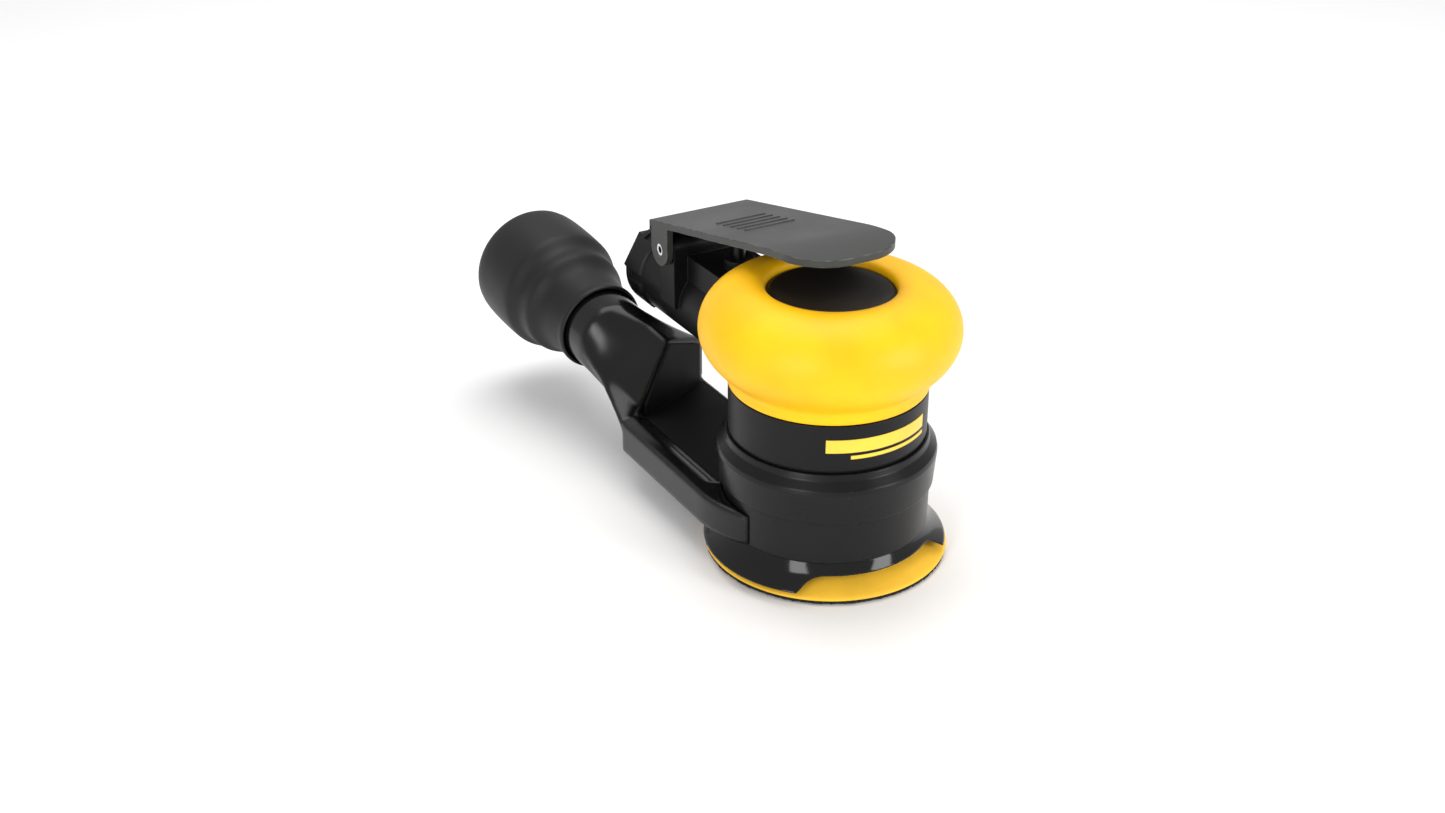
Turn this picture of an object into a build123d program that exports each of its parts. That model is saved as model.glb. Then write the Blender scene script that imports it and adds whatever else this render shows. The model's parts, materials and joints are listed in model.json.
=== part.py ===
from build123d import *
import os
from math import cos, radians, sin, tan

# Palm-grip orbital sander, air driven, in millimetres. Z is the motor axis, and the
# pad's hook face lies on z = 0. The inlet neck, the lever and the hose point to +Y,
# the front is -Y, and the vacuum duct runs back along the -X side.
os.makedirs("parts", exist_ok=True)

# Fits
RUNNING = 0.03  # radial clearance of a shaft in its bearing or bore
SEAT = 0.03  # radial clearance of a piece pushed or screwed into its seat
GAP = 0.4  # between pieces that must not touch as they move

# Pad and its orbit
PAD_DIA = 77.0
PAD_R = PAD_DIA / 2
HOOK_THICK = 1.2
FOAM_RIM = 1.4
FOAM_THICK = 6.8
FOAM_TOP_R = 25.0
PAD_PLATE_R = 17.2
PAD_PLATE_THICK = 2.0
ORBIT_DIA = 5.0
ECC = ORBIT_DIA / 2
ORBIT_ANGLE = 45.0  # where the spindle stands around the motor axis at rest
SPINDLE_AT = (ECC * cos(radians(ORBIT_ANGLE)), ECC * sin(radians(ORBIT_ANGLE)))
DUST_HOLE_R = 3.2
DUST_HOLE_PCR = 24.0
DUST_HOLES = 6
STUD_R = 3.9
STUD_LENGTH = 11.0

# Heights of the casing
SHROUD_Z = 12.6
COLLAR_Z = 27.0
SPIGOT_Z = 36.0
COLLAR_EDGE_Z = 38.4
HOUSING_Z = 44.0
GRIP_Z = 58.4
HOUSING_TOP_Z = 88.0

# Casing radii
HOUSING_DIA = 61.2
HOUSING_R = HOUSING_DIA / 2
SPIGOT_R = HOUSING_R - 1.1
BORE_R = HOUSING_R - 3.6
SHROUD_R = HOUSING_R + 1.7
COLLAR_LOW_R = HOUSING_R + 2.8
COLLAR_R = HOUSING_R + 3.6
SHROUD_WALL = 2.6

# Motor stack
MOTOR_DIA = 48.6
MOTOR_R = MOTOR_DIA / 2
ENDPLATE_THICK = 5.0
CYLINDER_HEIGHT = 20.0
CYLINDER_BORE_R = 19.0
CYLINDER_ECC = 1.5
ROTOR_R = CYLINDER_BORE_R - CYLINDER_ECC - 0.2
VANES = 5
VANE_THICK = 1.6
VANE_DEPTH = 8.0
BEARING_R = 11.0
BEARING_RACE = 1.4  # width of each race
BEARING_DEEP = 0.4  # how far the shields lie below the races
PLATE_WEB = 1.0  # what is left of an end plate behind its bearing
MOTOR_BEARING_R = BEARING_R - 1.0
SHAFT_R = 5.0
KEY_HALF = 1.5
KEY_SUNK = 1.5  # how deep the key sits in the shaft
KEY_PROUD = 1.2  # how far it stands out of it
KEY_END = 3.0  # from each end of the rotor
LOCK_RING_THICK = 4.0
LOCK_RING_Z = 37.0
STACK_Z = LOCK_RING_Z + LOCK_RING_THICK

# Spindle, its bearing and the balancer that carries it
SPINDLE_FLANGE = 3.0
SPINDLE_AF = 16.0
SPINDLE_BEARING = 13.0
SPINDLE_R = 6.0
HUB_WALL = 2.6
SHIELD_THICK = 0.8
RETAINER_THICK = 1.1
RETAINER_SLOT = 3.0
WEIGHT_THICK = 10.0
WEIGHT_SWEEP = 150.0

# Grip ring
GRIP_R = 39.3
GRIP_WAIST_R = 31.5
GRIP_WAIST_Z = 63.5
GRIP_BULGE_Z = 75.5
GRIP_TOP_Z = 91.0
GRIP_PEAK_R = 25.0
GRIP_OPENING_R = 19.6
GRIP_INNER_R = 27.6
DISH_DEPTH = 2.6

# Inlet neck, its fittings and the valve
INLET_Z = 58.0
INLET_R = 14.0
INLET_END = 96.0
INLET_BORE_R = 9.5
INLET_THREAD_R = 5.8
INLET_THREAD_LENGTH = 14.0
AIRWAY_R = 3.5
SPEED_RING_R = 14.7
SPEED_RING_WIDTH = 11.0
SPEED_RING_NOTCHES = 6
BUSHING_FLANGE_R = 12.4
BUSHING_FLANGE = 5.0
SEAT_Y = 66.0
SEAT_THICK = 2.2
VALVE_DISC_R = 6.4
VALVE_SHANK_R = 1.5
VALVE_LIFT = 1.0  # room for the tip valve to tilt off its seat
STEM_Y = 54.0
STEM_R = 2.0
STEM_BOSS_R = 5.0
NECK_HALF = 10.5
NECK_TOP_Z = 76.0

# Lever and its hinge
HINGE_Y = 74.3
HINGE_Z = 78.1
PIN_R = 2.1
PIN_BORE_R = 1.1
LUG_R = 5.0
LEVER_WIDTH = 36.8
LEVER_THICK = 2.2
LEVER_SLOPE = 12.3
LEVER_TIP_SLOPE = -1.0
LEVER_RISE = 9.7  # from the hinge up to the plate's top face, square to it
LEVER_FRONT_Y = -15.5
LEVER_BEND_Y = 10.0
LEVER_REAR_Y = 80.0
LEVER_CORNER = 14.5
LEVER_REAR_CORNER = 7.0
EAR_HALF = 5.4
EAR_GAP = 0.5

# Vacuum duct
DUCT_X = -38.0
DUCT_ARM_WIDTH = 10.0
DUCT_LOW_Z = 12.2
DUCT_ARM_Z = 23.0
DUCT_WALL = 1.8
DUCT_REAR_Y = 66.0  # where the arm's outer face ends
DUCT_SLANT = 25.6  # turn of the duct's front wall about Z
DUCT_SPAN = 47.0  # width of the front wall along its own slant
DUCT_VOLUTE_Y = 14.0
DUCT_HEEL_Z = 20.0  # the arm's rear face is upright below this, and runs into the tube above
DUCT_HEEL = 9.0  # width of the heel's slope
WINDOW_EDGE = 4.0  # from the duct's sides to the shroud's dust window
WINDOW_Y = 8.0
LID_Z = 20.4
LID_THICK = 1.6
TUBE_AT = (-22.8, 78.0, 35.0)  # where the hose tube's axis starts
TUBE_SWING = -2.8
TUBE_RISE = 5.5
TUBE_R = 14.0
TUBE_KNEE = 8.0  # from the axis' start to where the tube's lower left is full
TUBE_JOIN = 20.0  # to where it is round all over
CUFF_SEAL_AT = 37.0  # the cuff's seal, along the tube
SEAL_DEPTH = 0.9
SEAL_WIDTH = 1.6
SPIGOT_LENGTH = 22.0

# Hose cuff
CUFF_START = 30.0  # the cuff's front rim along the tube
CUFF_LENGTH = 55.5
CUFF_R = 22.9
CUFF_STEP_R = 19.4
CUFF_NECK_R = 15.6
CUFF_BODY = 26.0
CUFF_NECK = 15.0
CUFF_LAP = 14.0
HOSE_R = 16.0

# Skirt
SKIRT_Z = 5.2
SKIRT_R = PAD_R - 0.3
SKIRT_WALL = 1.5
SKIRT_FRONT_Z = 9.3
NOTCH_HALF = 30.0  # half width of the front notch
NOTCH_END = 12.5  # over which each end of it runs down

# Levels that follow from the sizes above
FOAM_TOP_Z = HOOK_THICK + FOAM_THICK
PLATE_TOP_Z = FOAM_TOP_Z + PAD_PLATE_THICK
HUB_Z = PLATE_TOP_Z + SPINDLE_FLANGE + 1.0
SHIELD_Z = HUB_Z + 0.6
RETAINER_Z = SHIELD_Z + SHIELD_THICK
SPINDLE_BEARING_Z = RETAINER_Z + RETAINER_THICK
HUB_TOP_Z = SPINDLE_BEARING_Z + SPINDLE_BEARING + 1.6
FRONT_PLATE_Z = STACK_Z
CYLINDER_Z = FRONT_PLATE_Z + ENDPLATE_THICK
REAR_PLATE_Z = CYLINDER_Z + CYLINDER_HEIGHT
STACK_TOP_Z = REAR_PLATE_Z + ENDPLATE_THICK
SHAFT_TOP_Z = STACK_TOP_Z + 0.8
SHROUD_BORE_R = SPIGOT_R - 2.0
WEIGHT_R = SHROUD_BORE_R - 1.0
HUB_R = BEARING_R + HUB_WALL

# Frames: the inlet runs along +Y, and the hose tube rises as it runs back
INLET = Plane(origin=(0, 0, INLET_Z), x_dir=(1, 0, 0), z_dir=(0, 1, 0))
RISE = radians(TUBE_RISE)
SWING = radians(TUBE_SWING)
TUBE = Plane(
    origin=TUBE_AT,
    x_dir=(cos(SWING), -sin(SWING), 0),
    z_dir=(sin(SWING) * cos(RISE), cos(SWING) * cos(RISE), sin(RISE)),
)
SLANT = radians(DUCT_SLANT)
FRONT = Plane(
    origin=(DUCT_X, DUCT_REAR_Y, 0),
    x_dir=(cos(SLANT), sin(SLANT), 0),
    z_dir=(sin(SLANT), -cos(SLANT), 0),
)
DUCT_RIGHT_X = DUCT_X + DUCT_SPAN * cos(SLANT)
SIDE = Plane.YZ
SPINDLE = Plane(origin=(*SPINDLE_AT, 0))


def ring(plane, outer, inner, length, mode=Mode.ADD):
    """A ring, or a disc where inner is 0, standing on a plane."""
    with BuildSketch(plane) as face:
        Circle(outer)
        if inner:
            Circle(inner, mode=Mode.SUBTRACT)
    extrude(face.sketch, amount=length, mode=mode)


def turned(plane, points, mode=Mode.ADD):
    """A body turned about the plane's own normal from (radius, height) points."""
    half = Plane(origin=plane.origin, x_dir=plane.x_dir, z_dir=-plane.y_dir)
    with BuildSketch(half) as face:
        with BuildLine():
            Polyline(*points, close=True)
        make_face()
    revolve(face.sketch, axis=Axis(plane.origin, plane.z_dir), mode=mode)


def block(low, high, mode=Mode.ADD):
    """A box between two corners."""
    with BuildSketch(Plane.XY.offset(low[2])) as face:
        with Locations(((low[0] + high[0]) / 2, (low[1] + high[1]) / 2)):
            Rectangle(high[0] - low[0], high[1] - low[1])
    extrude(face.sketch, amount=high[2] - low[2], mode=mode)


def level(z):
    return Plane.XY.offset(z)


def lever_top(y):
    """Height of the lever's straight top line above a point of the Y axis."""
    slope = radians(LEVER_SLOPE)
    return HINGE_Z + LEVER_RISE / cos(slope) - (y - HINGE_Y) * tan(slope)


# ---------------------------------------------------------------- pad
with BuildPart() as pad_hook_face:
    with BuildSketch(SPINDLE):
        Circle(PAD_R)
        with PolarLocations(DUST_HOLE_PCR, DUST_HOLES):
            Circle(DUST_HOLE_R, mode=Mode.SUBTRACT)
    extrude(amount=HOOK_THICK)
pad_hook_face.part.label = "pad_hook_face"
export_step(pad_hook_face.part, "parts/pad_hook_face.step")

with BuildPart() as pad_foam:
    rim_z = HOOK_THICK + FOAM_RIM
    turned(
        SPINDLE,
        [
            (0, HOOK_THICK),
            (PAD_R, HOOK_THICK),
            (PAD_R, rim_z),
            (FOAM_TOP_R, FOAM_TOP_Z),
            (0, FOAM_TOP_Z),
        ],
    )
    with BuildSketch(SPINDLE.offset(HOOK_THICK)) as foam_holes:
        with PolarLocations(DUST_HOLE_PCR, DUST_HOLES):
            Circle(DUST_HOLE_R)
    extrude(amount=FOAM_THICK, mode=Mode.SUBTRACT)
pad_foam.part.label = "pad_foam"
export_step(pad_foam.part, "parts/pad_foam.step")

with BuildPart() as pad_plate:
    ring(SPINDLE.offset(FOAM_TOP_Z), PAD_PLATE_R, 0, PAD_PLATE_THICK)
    ring(SPINDLE.offset(PLATE_TOP_Z), STUD_R, 0, STUD_LENGTH)
    stud_tip = pad_plate.edges().filter_by(GeomType.CIRCLE).sort_by(Axis.Z)[-1]
    chamfer(stud_tip, 0.6)
pad_plate.part.label = "pad_plate"
export_step(pad_plate.part, "parts/pad_plate.step")

with BuildPart() as spindle:
    with BuildSketch(SPINDLE.offset(PLATE_TOP_Z)):
        RegularPolygon(SPINDLE_AF / 2, 6, major_radius=False)
    extrude(amount=SPINDLE_FLANGE)
    shank_top = SPINDLE_BEARING_Z + SPINDLE_BEARING + 0.6
    shank_z = PLATE_TOP_Z + SPINDLE_FLANGE
    ring(SPINDLE.offset(shank_z), SPINDLE_R, 0, shank_top - shank_z)
    ring(SPINDLE.offset(PLATE_TOP_Z), STUD_R + SEAT, 0, STUD_LENGTH + 1, Mode.SUBTRACT)
spindle.part.label = "spindle"
export_step(spindle.part, "parts/spindle.step")

# ---------------------------------------------------------------- balancer and spindle bearing
with BuildPart() as spindle_bearing:
    low_face = SPINDLE.offset(SPINDLE_BEARING_Z)
    ring(low_face, BEARING_R, SPINDLE_R + RUNNING, SPINDLE_BEARING)
    high_face = SPINDLE.offset(SPINDLE_BEARING_Z + SPINDLE_BEARING - BEARING_DEEP)
    for face in (low_face, high_face):
        ring(face, BEARING_R - BEARING_RACE, SPINDLE_R + BEARING_RACE, BEARING_DEEP, Mode.SUBTRACT)
spindle_bearing.part.label = "spindle_bearing"
export_step(spindle_bearing.part, "parts/spindle_bearing.step")

with BuildPart() as spindle_retaining_ring:
    ring(SPINDLE.offset(RETAINER_Z), BEARING_R, BEARING_R - 2.0, RETAINER_THICK)
    ring_slot = SPINDLE_AT[0] + BEARING_R
    block(
        (SPINDLE_AT[0], SPINDLE_AT[1] - RETAINER_SLOT / 2, RETAINER_Z),
        (ring_slot, SPINDLE_AT[1] + RETAINER_SLOT / 2, RETAINER_Z + RETAINER_THICK),
        Mode.SUBTRACT,
    )
spindle_retaining_ring.part.label = "spindle_retaining_ring"
export_step(spindle_retaining_ring.part, "parts/spindle_retaining_ring.step")

with BuildPart() as spindle_shield:
    ring(SPINDLE.offset(SHIELD_Z), BEARING_R, SPINDLE_R + GAP, SHIELD_THICK)
spindle_shield.part.label = "spindle_shield"
export_step(spindle_shield.part, "parts/spindle_shield.step")

with BuildPart() as shaft_balancer:
    ring(SPINDLE.offset(HUB_Z), HUB_R, 0, HUB_TOP_Z - HUB_Z)
    # the counterweight fans out on the side away from the spindle
    start = ORBIT_ANGLE + 180 - WEIGHT_SWEEP / 2
    with BuildSketch(level(HUB_Z + 1)):
        with BuildLine():
            fan = CenterArc((0, 0), WEIGHT_R, start, WEIGHT_SWEEP)
            Line(fan @ 1, (0, 0))
            Line((0, 0), fan @ 0)
        make_face()
    extrude(amount=WEIGHT_THICK)
    ring(SPINDLE.offset(HUB_Z), BEARING_R + SEAT, 0, HUB_TOP_Z - 1.6 - HUB_Z + 0.8, Mode.SUBTRACT)
    ring(level(HUB_TOP_Z), SHAFT_R + 2, 0, FRONT_PLATE_Z - HUB_TOP_Z)
    ring(level(FRONT_PLATE_Z), SHAFT_R, 0, SHAFT_TOP_Z - FRONT_PLATE_Z)
    # keyway for the rotor
    block(
        (SHAFT_R - KEY_SUNK, -KEY_HALF, CYLINDER_Z + KEY_END),
        (SHAFT_R + 1, KEY_HALF, REAR_PLATE_Z - KEY_END),
        Mode.SUBTRACT,
    )
shaft_balancer.part.label = "shaft_balancer"
export_step(shaft_balancer.part, "parts/shaft_balancer.step")

# ---------------------------------------------------------------- motor
with BuildPart() as rotor_key:
    block(
        (SHAFT_R - KEY_SUNK, SEAT - KEY_HALF, CYLINDER_Z + KEY_END),
        (SHAFT_R + KEY_PROUD, KEY_HALF - SEAT, REAR_PLATE_Z - KEY_END),
    )
rotor_key.part.label = "rotor_key"
export_step(rotor_key.part, "parts/rotor_key.step")

END_PLAY = 0.1  # between the rotor's ends and the endplates
SLOT_FLOOR = ROTOR_R - VANE_DEPTH
VANE_TURN = 180 / VANES  # the slots stand clear of the keyway

with BuildPart() as rotor:
    ring(level(CYLINDER_Z + END_PLAY), ROTOR_R, SHAFT_R + SEAT, CYLINDER_HEIGHT - 2 * END_PLAY)
    with BuildSketch(level(CYLINDER_Z)):
        with PolarLocations(SLOT_FLOOR + VANE_DEPTH / 2 + 0.5, VANES, start_angle=VANE_TURN):
            Rectangle(VANE_DEPTH + 1, VANE_THICK)
    extrude(amount=CYLINDER_HEIGHT, mode=Mode.SUBTRACT)
    block(
        (0, -KEY_HALF, CYLINDER_Z),
        (SHAFT_R + KEY_PROUD + 0.1, KEY_HALF, REAR_PLATE_Z),
        Mode.SUBTRACT,
    )
rotor.part.label = "rotor"
export_step(rotor.part, "parts/rotor.step")

with BuildPart() as rotor_vanes:
    with BuildSketch(level(CYLINDER_Z + END_PLAY)):
        with PolarLocations(SLOT_FLOOR + VANE_DEPTH / 2, VANES, start_angle=VANE_TURN):
            Rectangle(VANE_DEPTH - 0.2, VANE_THICK - 2 * SEAT)
    extrude(amount=CYLINDER_HEIGHT - 2 * END_PLAY)
rotor_vanes.part.label = "rotor_vanes"
export_step(rotor_vanes.part, "parts/rotor_vanes.step")

CYLINDER_PORT_R = 2.5
DOWEL_R = 1.2
DOWEL_AT = MOTOR_R - 2.4

with BuildPart() as cylinder:
    with BuildSketch(level(CYLINDER_Z)):
        Circle(MOTOR_R)
        with Locations((-CYLINDER_ECC, 0)):
            Circle(CYLINDER_BORE_R, mode=Mode.SUBTRACT)
        with Locations((DOWEL_AT, 0)):
            Circle(DOWEL_R + SEAT, mode=Mode.SUBTRACT)
    extrude(amount=CYLINDER_HEIGHT)
    # the port that lets the air in through the rear wall
    with Locations(Plane(origin=(0, 0, CYLINDER_Z + CYLINDER_HEIGHT / 2), z_dir=(0, 1, 0))):
        Cylinder(CYLINDER_PORT_R, MOTOR_R + 5, align=(Align.CENTER, Align.CENTER, Align.MIN), mode=Mode.SUBTRACT)
cylinder.part.label = "cylinder"
export_step(cylinder.part, "parts/cylinder.step")

with BuildPart() as cylinder_dowel:
    with BuildSketch(level(CYLINDER_Z - 2)):
        with Locations((DOWEL_AT, 0)):
            Circle(DOWEL_R)
    extrude(amount=CYLINDER_HEIGHT + 4)
cylinder_dowel.part.label = "cylinder_dowel"
export_step(cylinder_dowel.part, "parts/cylinder_dowel.step")


def endplate(low, pocket_low):
    """An end plate of the motor, with a pocket for its bearing and a dowel hole."""
    with BuildSketch(level(low)) as face:
        Circle(MOTOR_R)
        Circle(SHAFT_R + 1, mode=Mode.SUBTRACT)
        with Locations((DOWEL_AT, 0)):
            Circle(DOWEL_R + SEAT, mode=Mode.SUBTRACT)
    extrude(face.sketch, amount=ENDPLATE_THICK)
    ring(level(pocket_low), MOTOR_BEARING_R + SEAT, 0, ENDPLATE_THICK - PLATE_WEB, Mode.SUBTRACT)


def motor_bearing(low):
    """A shielded ball bearing, its two faces recessed between the races."""
    width = ENDPLATE_THICK - PLATE_WEB - 2 * SEAT
    base = low + SEAT
    outer, inner = MOTOR_BEARING_R - BEARING_RACE, SHAFT_R + BEARING_RACE
    ring(level(base), MOTOR_BEARING_R, SHAFT_R + RUNNING, width)
    ring(level(base), outer, inner, BEARING_DEEP, Mode.SUBTRACT)
    ring(level(base + width - BEARING_DEEP), outer, inner, BEARING_DEEP, Mode.SUBTRACT)


with BuildPart() as front_endplate:
    endplate(FRONT_PLATE_Z, FRONT_PLATE_Z)
front_endplate.part.label = "front_endplate"
export_step(front_endplate.part, "parts/front_endplate.step")

with BuildPart() as front_bearing:
    motor_bearing(FRONT_PLATE_Z)
front_bearing.part.label = "front_bearing"
export_step(front_bearing.part, "parts/front_bearing.step")

with BuildPart() as rear_endplate:
    endplate(REAR_PLATE_Z, REAR_PLATE_Z + PLATE_WEB)
rear_endplate.part.label = "rear_endplate"
export_step(rear_endplate.part, "parts/rear_endplate.step")

with BuildPart() as rear_bearing:
    motor_bearing(REAR_PLATE_Z + PLATE_WEB)
rear_bearing.part.label = "rear_bearing"
export_step(rear_bearing.part, "parts/rear_bearing.step")

with BuildPart() as lock_ring:
    ring(level(LOCK_RING_Z), BORE_R - SEAT, SHAFT_R + 2 + GAP, LOCK_RING_THICK)
    with BuildSketch(level(LOCK_RING_Z)):
        with PolarLocations(BORE_R - 7, 4):
            Circle(1.6)
    extrude(amount=2.5, mode=Mode.SUBTRACT)
lock_ring.part.label = "lock_ring"
export_step(lock_ring.part, "parts/lock_ring.step")

with BuildPart() as housing_o_ring:
    ring(level(STACK_TOP_Z), MOTOR_R - 1.2, MOTOR_R - 3.0, 1.4)
housing_o_ring.part.label = "housing_o_ring"
export_step(housing_o_ring.part, "parts/housing_o_ring.step")

# ---------------------------------------------------------------- housing
MUFFLER_X = 23.6
MUFFLER_Z = 52.5
MUFFLER_R = 9.0
MUFFLER_END = 60.0
MUFFLER_WALL = 1.8
MUFFLER_CAP = 6.0
MUFFLER_FLANGE = 2.4
MUFFLER_ROOT_Y = 12.0  # where the muffler's tube starts inside the crown
CHAMBER_Y = 30.0  # where its chamber starts
EXHAUST_Y = 8.0  # where the exhaust port leaves the motor
EXHAUST_R = 3.0
INLET_ROOT_Y = 6.0
NECK_ROOT_Y = 20.0
MUFFLER = Plane(origin=(MUFFLER_X, 0, MUFFLER_Z), x_dir=(1, 0, 0), z_dir=(0, 1, 0))
SHOULDER_R = GRIP_INNER_R - GAP
BOSS_R = GRIP_OPENING_R - 0.2
DISH_R = BOSS_R - 3.0
DISH_BOWL_R = (DISH_R**2 + DISH_DEPTH**2) / (2 * DISH_DEPTH)
LUG_HALF = LEVER_WIDTH / 2 - LEVER_THICK - EAR_GAP
LUG_FRONT = HINGE_Y - LUG_R - 0.4

with BuildPart() as housing:
    turned(
        Plane.XY,
        [
            (0, SPIGOT_Z),
            (SPIGOT_R, SPIGOT_Z),
            (SPIGOT_R, HOUSING_Z - 1.2),
            (HOUSING_R - 0.2, HOUSING_Z - 1.2),
            (HOUSING_R, HOUSING_Z),
            (HOUSING_R, GRIP_Z - SEAT),
            (SHOULDER_R, GRIP_Z - SEAT),
            (SHOULDER_R, GRIP_BULGE_Z + 1.0),
            (BOSS_R, GRIP_BULGE_Z + 6.5),
            (BOSS_R, HOUSING_TOP_Z),
            (BOSS_R - 1.2, HOUSING_TOP_Z + 0.5),
            (DISH_R, HOUSING_TOP_Z),
            (0, HOUSING_TOP_Z),
        ],
    )
    # the palm's dish in the crown is a shallow bowl
    with Locations((0, 0, HOUSING_TOP_Z - DISH_DEPTH + DISH_BOWL_R)):
        Sphere(DISH_BOWL_R, mode=Mode.SUBTRACT)
    ring(INLET.offset(INLET_ROOT_Y), INLET_R, 0, INLET_END - INLET_ROOT_Y)
    ring(MUFFLER.offset(MUFFLER_ROOT_Y), MUFFLER_R, 0, MUFFLER_END - MUFFLER_ROOT_Y)
    block((-NECK_HALF, NECK_ROOT_Y, INLET_Z), (NECK_HALF, LUG_FRONT + 1, NECK_TOP_Z))
    # hinge lug, rounded about the lever pin
    with BuildSketch(SIDE.offset(-LUG_HALF)) as lug_side:
        with Locations((HINGE_Y, HINGE_Z)):
            Circle(LUG_R)
        with Locations((HINGE_Y, (INLET_Z + HINGE_Z) / 2)):
            Rectangle(2 * LUG_R, HINGE_Z - INLET_Z)
    extrude(lug_side.sketch, amount=2 * LUG_HALF)
    ring(Plane(origin=(0, STEM_Y, INLET_Z)), STEM_BOSS_R, 0, NECK_TOP_Z + 3 - INLET_Z)
    # motor bore, lock ring seat and the cored-out crown
    ring(level(SPIGOT_Z - 1), BORE_R, 0, STACK_Z + 1 - SPIGOT_Z, Mode.SUBTRACT)
    ring(level(STACK_Z - 1), MOTOR_R + SEAT, 0, STACK_TOP_Z + 1 - STACK_Z, Mode.SUBTRACT)
    ring(level(STACK_TOP_Z), MOTOR_R - 1.2, 0, 1.6, Mode.SUBTRACT)
    ring(level(STACK_TOP_Z), BOSS_R - 5, 0, 11.0, Mode.SUBTRACT)
    # the air way: inlet bore, passage to the motor, valve stem and pin bores
    ring(INLET.offset(STEM_Y - 6), INLET_BORE_R, 0, INLET_END, Mode.SUBTRACT)
    ring(INLET.offset(MOTOR_R - 2), AIRWAY_R, 0, STEM_Y - MOTOR_R, Mode.SUBTRACT)
    ring(Plane(origin=(0, STEM_Y, INLET_Z)), STEM_R + RUNNING, 0, 40, Mode.SUBTRACT)
    ring(Plane(origin=(0, STEM_Y, NECK_TOP_Z - 1)), STEM_R + 1.5, 0, 2.0, Mode.SUBTRACT)
    ring(
        Plane(origin=(-LEVER_WIDTH, HINGE_Y, HINGE_Z), z_dir=(1, 0, 0)),
        PIN_R + SEAT,
        0,
        2 * LEVER_WIDTH,
        Mode.SUBTRACT,
    )
    # exhaust: a port from the motor into the muffler chamber
    ring(MUFFLER.offset(CHAMBER_Y), MUFFLER_R - MUFFLER_WALL, 0, MUFFLER_END, Mode.SUBTRACT)
    ring(MUFFLER.offset(EXHAUST_Y), EXHAUST_R, 0, CHAMBER_Y + 1 - EXHAUST_Y, Mode.SUBTRACT)
housing.part.label = "housing"
export_step(housing.part, "parts/housing.step")

with BuildPart() as muffler_insert:
    insert_length = MUFFLER_END - CHAMBER_Y - MUFFLER_CAP - 2 * SEAT
    insert_r = MUFFLER_R - MUFFLER_WALL - SEAT
    ring(MUFFLER.offset(CHAMBER_Y + SEAT), insert_r, insert_r - 2.4, insert_length)
muffler_insert.part.label = "muffler_insert"
export_step(muffler_insert.part, "parts/muffler_insert.step")

with BuildPart() as muffler_cap:
    ring(MUFFLER.offset(MUFFLER_END - MUFFLER_CAP), insert_r, 0, MUFFLER_CAP)
    ring(MUFFLER.offset(MUFFLER_END), MUFFLER_R, 0, MUFFLER_FLANGE)
    with BuildSketch(MUFFLER.offset(MUFFLER_END - MUFFLER_CAP)) as cap_slots:
        with GridLocations(3.4, 1, 3, 1):
            SlotOverall(9.0, 1.6, rotation=90)
    extrude(cap_slots.sketch, amount=MUFFLER_CAP + MUFFLER_FLANGE, mode=Mode.SUBTRACT)
muffler_cap.part.label = "muffler_cap"
export_step(muffler_cap.part, "parts/muffler_cap.step")

# ---------------------------------------------------------------- grip ring
with BuildPart() as grip:
    with BuildSketch(Plane.XZ) as grip_half:
        with BuildLine():
            low_in = (SHOULDER_R + GAP + 1.2, GRIP_Z)
            low_out = (HOUSING_R + 0.2, GRIP_Z)
            waist = (GRIP_WAIST_R, GRIP_WAIST_Z)
            bulge = (GRIP_R, GRIP_BULGE_Z)
            peak = (GRIP_PEAK_R, GRIP_TOP_Z)
            lip = (GRIP_OPENING_R, GRIP_TOP_Z - 1.6)
            Spline(low_out, waist, tangents=[(0, 1), (0.5, 1)])
            Spline(waist, bulge, peak, lip, tangents=[(0.62, 0.8), (-0.5, -1)])
            Line(lip, (GRIP_OPENING_R, GRIP_BULGE_Z + 8.6))
            Line((GRIP_OPENING_R, GRIP_BULGE_Z + 8.6), (GRIP_INNER_R, GRIP_BULGE_Z + 1.8))
            Line((GRIP_INNER_R, GRIP_BULGE_Z + 1.8), (GRIP_INNER_R, GRIP_Z + 2.2))
            Line((GRIP_INNER_R, GRIP_Z + 2.2), low_in)
            Line(low_in, low_out)
        make_face()
    revolve(axis=Axis.Z)
    # the neck, the inlet and the muffler pass out through the rear wall
    neck_x, inlet_x = NECK_HALF + GAP, INLET_R + GAP
    ring(INLET, inlet_x, 0, 2 * GRIP_R, Mode.SUBTRACT)
    ring(MUFFLER, MUFFLER_R + GAP, 0, 2 * GRIP_R, Mode.SUBTRACT)
    block((-neck_x, 0, INLET_Z), (neck_x, 2 * GRIP_R, NECK_TOP_Z + GAP), Mode.SUBTRACT)
    block((-inlet_x, 0, GRIP_Z - 2), (inlet_x, 2 * GRIP_R, INLET_Z + 1), Mode.SUBTRACT)
grip.part.label = "grip"
export_step(grip.part, "parts/grip.step")

# ---------------------------------------------------------------- accent decal
DECAL_THICK = 0.15
DECAL_LOW = 47.5
DECAL_HIGH = 54.0
DECAL_HALF = 34.0  # half sweep of the wide bar, in degrees
DECAL_SHORT = 20.0  # where the thin bar starts, left of the front
DECAL_FRONT = -90.0
DECAL_THIN = 1.2
DECAL_SPACE = 1.0


def decal_bar(from_angle, to_angle, low, high):
    """One bar of the decal, wrapped round the housing's front."""
    with BuildSketch(level(low)) as face:
        with BuildLine():
            outer = CenterArc((0, 0), HOUSING_R + DECAL_THICK, from_angle, to_angle - from_angle)
            inner = CenterArc((0, 0), HOUSING_R, from_angle, to_angle - from_angle)
            Line(outer @ 0, inner @ 0)
            Line(outer @ 1, inner @ 1)
        make_face()
    extrude(face.sketch, amount=high - low)


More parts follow.
